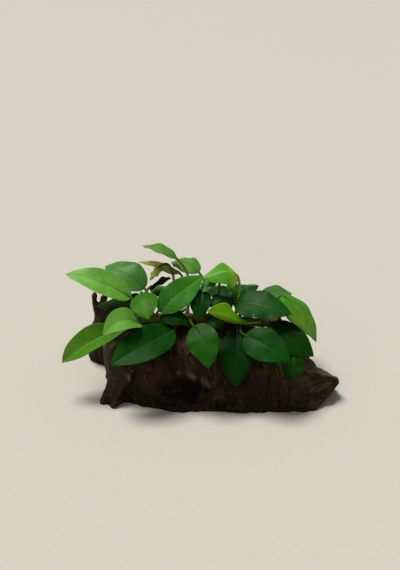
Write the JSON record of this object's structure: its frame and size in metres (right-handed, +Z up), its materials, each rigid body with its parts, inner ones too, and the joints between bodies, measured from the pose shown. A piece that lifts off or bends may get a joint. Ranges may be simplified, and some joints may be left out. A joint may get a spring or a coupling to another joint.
{
  "type": "anubias nana on driftwood",
  "caption": "Aquarium plant with pointed oval leaves on creeping rhizomes, rooted over the crown of a dark driftwood piece with a shallow cave in its front.",
  "frame": {"origin": "on the flat underside of the driftwood, below the middle of the plant", "axes": "+X along the driftwood towards its blunt snout, +Y towards the back, +Z up; the cave opens towards -Y"},
  "size_m": [0.2189, 0.1163, 0.1062],
  "materials": {
    "driftwood": "dark waterlogged wood with reddish-brown patches, matt",
    "rhizome": "fleshy green stem with rings of old leaf scars, satin",
    "root": "wiry tan to dark roots, matt",
    "leaf_fresh": "fresh light green leaf, waxy satin",
    "leaf_mid": "mid green leaf, waxy satin",
    "leaf_blue": "bluish green leaf, waxy satin",
    "leaf_deep": "deep green leaf, waxy satin",
    "leaf_pale": "pale green underside of a leaf, satin",
    "leaf_young": "yellow-green young leaf, satin",
    "leaf_olive": "olive green leaf with a brown rim, satin",
    "leaf_old": "old yellow-brown leaf, matt"
  },
  "bodies": {
    "root": {"driftwood_trunk": "driftwood", "driftwood_snout": "driftwood", "driftwood_horn": "driftwood", "driftwood_front_root": "driftwood", "rhizome_left": "rhizome", "rhizome_right": "rhizome", "holding_root_1": "root", "holding_root_2": "root", "holding_root_3": "root", "holding_root_4": "root", "holding_root_5": "root", "holding_root_6": "root", "holding_root_7": "root", "holding_root_8": "root", "leaf_left_1": "leaf_fresh", "leaf_left_2": "leaf_blue", "leaf_left_3": "leaf_deep", "leaf_left_4": "leaf_mid", "leaf_left_5": "leaf_deep", "leaf_left_6": "leaf_old", "leaf_left_7": "leaf_fresh", "leaf_left_8": "leaf_mid", "leaf_left_9": "leaf_blue", "leaf_front_1": "leaf_deep", "leaf_front_2": "leaf_mid", "leaf_front_3": "leaf_fresh", "leaf_centre_1": "leaf_deep", "leaf_centre_2": "leaf_mid", "leaf_centre_3": "leaf_pale", "leaf_centre_4": "leaf_deep", "leaf_centre_5": "leaf_deep", "leaf_centre_6": "leaf_deep", "leaf_centre_7": "leaf_deep", "leaf_top_1": "leaf_blue", "leaf_top_2": "leaf_blue", "leaf_top_3": "leaf_fresh", "leaf_young_1": "leaf_young", "leaf_right_1": "leaf_blue", "leaf_right_2": "leaf_deep", "leaf_right_3": "leaf_mid", "leaf_right_4": "leaf_olive", "leaf_right_5": "leaf_deep", "leaf_right_6": "leaf_mid", "leaf_right_7": "leaf_deep", "leaf_right_8": "leaf_old", "leaf_back_1": "leaf_deep", "leaf_back_2": "leaf_mid", "leaf_back_3": "leaf_deep", "leaf_back_4": "leaf_deep", "leaf_back_5": "leaf_deep", "leaf_back_6": "leaf_deep", "leaf_back_7": "leaf_deep"}
  },
  "joints": []
}
